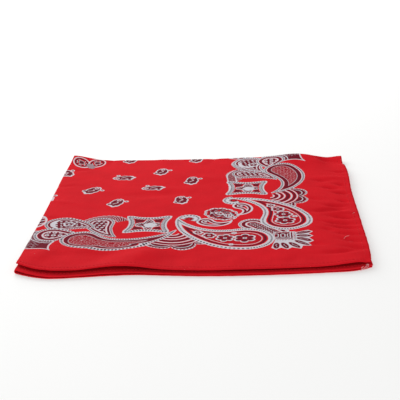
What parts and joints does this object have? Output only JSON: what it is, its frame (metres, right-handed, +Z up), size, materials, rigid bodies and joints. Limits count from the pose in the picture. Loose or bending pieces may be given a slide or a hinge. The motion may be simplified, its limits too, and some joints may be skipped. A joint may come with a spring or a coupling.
{
  "type": "folded bandana",
  "caption": "Square cotton bandana with hemmed edges and a paisley border print, folded in quarters and lying flat, with folds at the left and back and layered hems in front and on the right.",
  "frame": {"origin": "centre of the folded pile's outline, on the surface that it lies on", "axes": "+Z up from the surface; +Y towards the back fold; +X towards the right hems, away from the left fold"},
  "size_m": [0.2782, 0.2913, 0.0094],
  "materials": {
    "printed_cotton": "plain weave, printed, matt",
    "cotton_reverse": "plain weave, matt",
    "hemmed_cotton": "turned twice and stitched, matt"
  },
  "bodies": {
    "root": {"top_quarter": "printed_cotton", "folded_layers": "cotton_reverse", "top_front_hem": "hemmed_cotton", "top_right_hem": "hemmed_cotton", "lower_front_hem": "hemmed_cotton", "lower_right_hem": "hemmed_cotton"}
  },
  "joints": []
}
